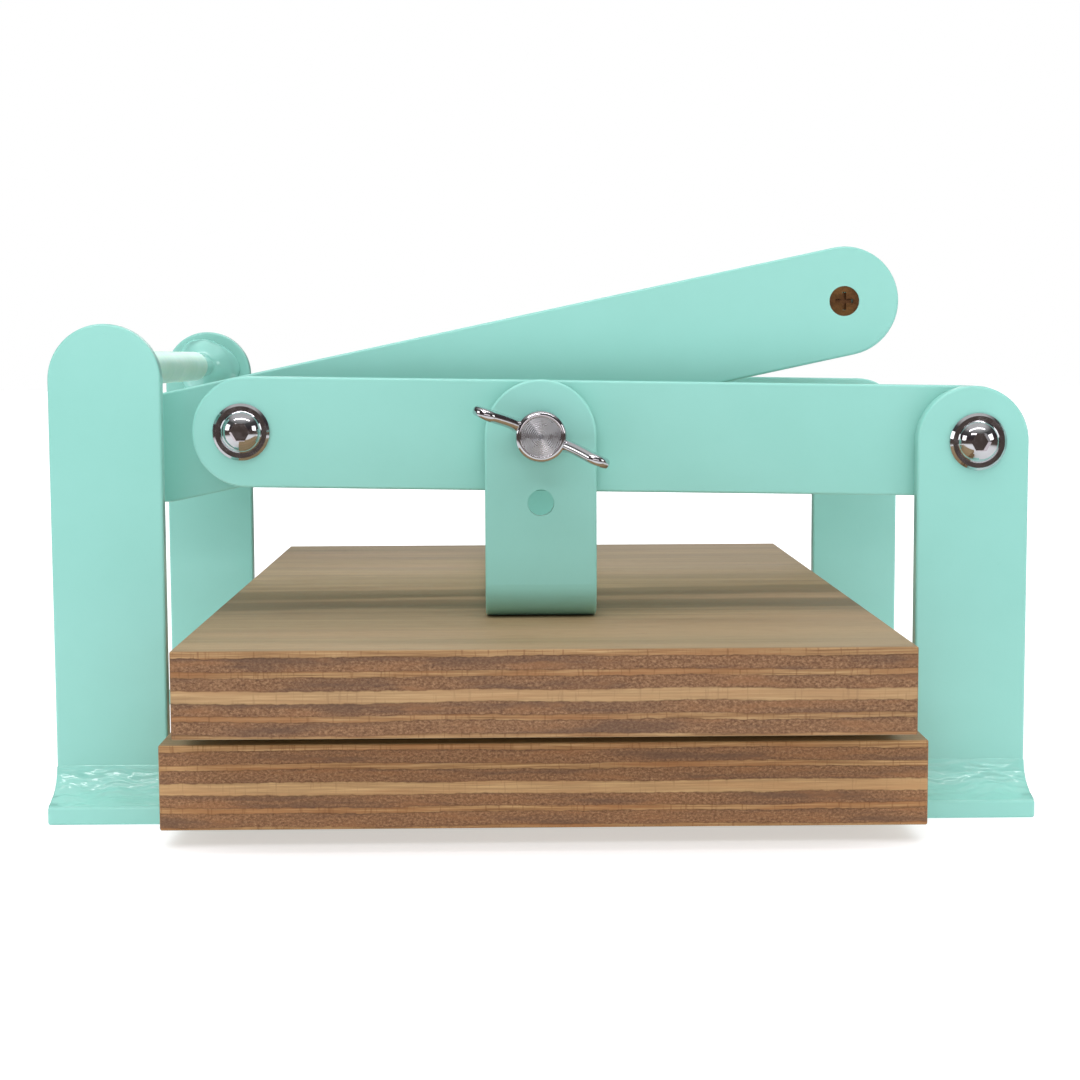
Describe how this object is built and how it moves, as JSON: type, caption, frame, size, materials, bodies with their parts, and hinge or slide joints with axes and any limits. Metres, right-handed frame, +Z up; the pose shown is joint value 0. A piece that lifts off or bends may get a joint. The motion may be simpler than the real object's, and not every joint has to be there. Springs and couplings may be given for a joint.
{
  "type": "bookbinding press",
  "caption": "Tabletop lever press for book blocks: welded flat-bar frame, pivoted beams and compound lever that force a plywood platen down on a plywood base board.",
  "frame": {"origin": "on the table, under the middle of the press's bounding box", "axes": "+Z up, -Y is the front, +X to the right; the lever pivots at the left and the beams pivot at the right"},
  "size_m": [0.2222, 0.2416, 0.1295],
  "materials": {
    "mint_paint": "glossy powder coat",
    "plywood": "lightly sanded veneer",
    "handle_wood": "clear lacquer",
    "roller_plastic": "satin nylon",
    "chrome": "polished",
    "zinc_steel": "bright zinc",
    "yellow_zinc": "dark yellow zinc"
  },
  "bodies": {
    "frame": {"front_base_bar": "mint_paint", "rear_base_bar": "mint_paint", "front_left_upright": "mint_paint", "rear_left_upright": "mint_paint", "front_right_upright": "mint_paint", "rear_right_upright": "mint_paint", "base_weld_beads": "mint_paint", "fulcrum_rod": "mint_paint", "rod_weld_beads": "mint_paint", "bottom_board": "plywood", "bottom_board_screws": "yellow_zinc", "front_frame_pivot_bolt": "chrome", "rear_frame_pivot_bolt": "chrome", "frame_pivot_nuts": "zinc_steel"},
    "roller": {"fulcrum_roller": "roller_plastic"},
    "beams": {"front_beam": "mint_paint", "rear_beam": "mint_paint", "weld_nuts": "mint_paint", "front_lever_pivot_bolt": "chrome", "rear_lever_pivot_bolt": "chrome", "lever_pivot_nuts": "zinc_steel", "lever_spacers": "zinc_steel"},
    "lever": {"front_lever_plate": "mint_paint", "rear_lever_plate": "mint_paint", "handle_grip": "handle_wood", "handle_screws": "yellow_zinc"},
    "presser": {"presser_bracket": "mint_paint", "top_board": "plywood", "top_board_screws": "zinc_steel"},
    "front_wing": {"front_wing_bolt": "chrome"},
    "rear_wing": {"rear_wing_bolt": "chrome"}
  },
  "joints": [
    {"name": "beam_pivot", "type": "hinge", "parent": "frame", "child": "beams", "pos_m": [0.0994, 0.0065, 0.0845], "axis": [0, 1, 0], "range_deg": [-1.8, 12.6]},
    {"name": "lever_pivot", "type": "hinge", "parent": "beams", "child": "lever", "pos_m": [-0.0682, 0.0065, 0.0874], "axis": [0, -1, 0], "range_deg": [-17, 118]},
    {"name": "presser_swivel", "type": "hinge", "parent": "beams", "child": "presser", "pos_m": [0, 0.0065, 0.0864], "axis": [0, -1, 0], "range_deg": [-2, 12.8]},
    {"name": "roller_spin", "type": "hinge", "parent": "frame", "child": "roller", "pos_m": [-0.0984, 0.0065, 0.1018], "axis": [0, 1, 0], "continuous": true},
    {"name": "front_wing_turn", "type": "hinge", "parent": "beams", "child": "front_wing", "pos_m": [0, -0.074, 0.0864], "axis": [0, -1, 0], "continuous": true},
    {"name": "rear_wing_turn", "type": "hinge", "parent": "beams", "child": "rear_wing", "pos_m": [0, 0.087, 0.0864], "axis": [0, 1, 0], "continuous": true}
  ],
  "couplings": [
    {"joint": "lever_pivot", "follows": "beam_pivot", "ratio": 9.3},
    {"joint": "presser_swivel", "follows": "beam_pivot", "ratio": 1}
  ]
}
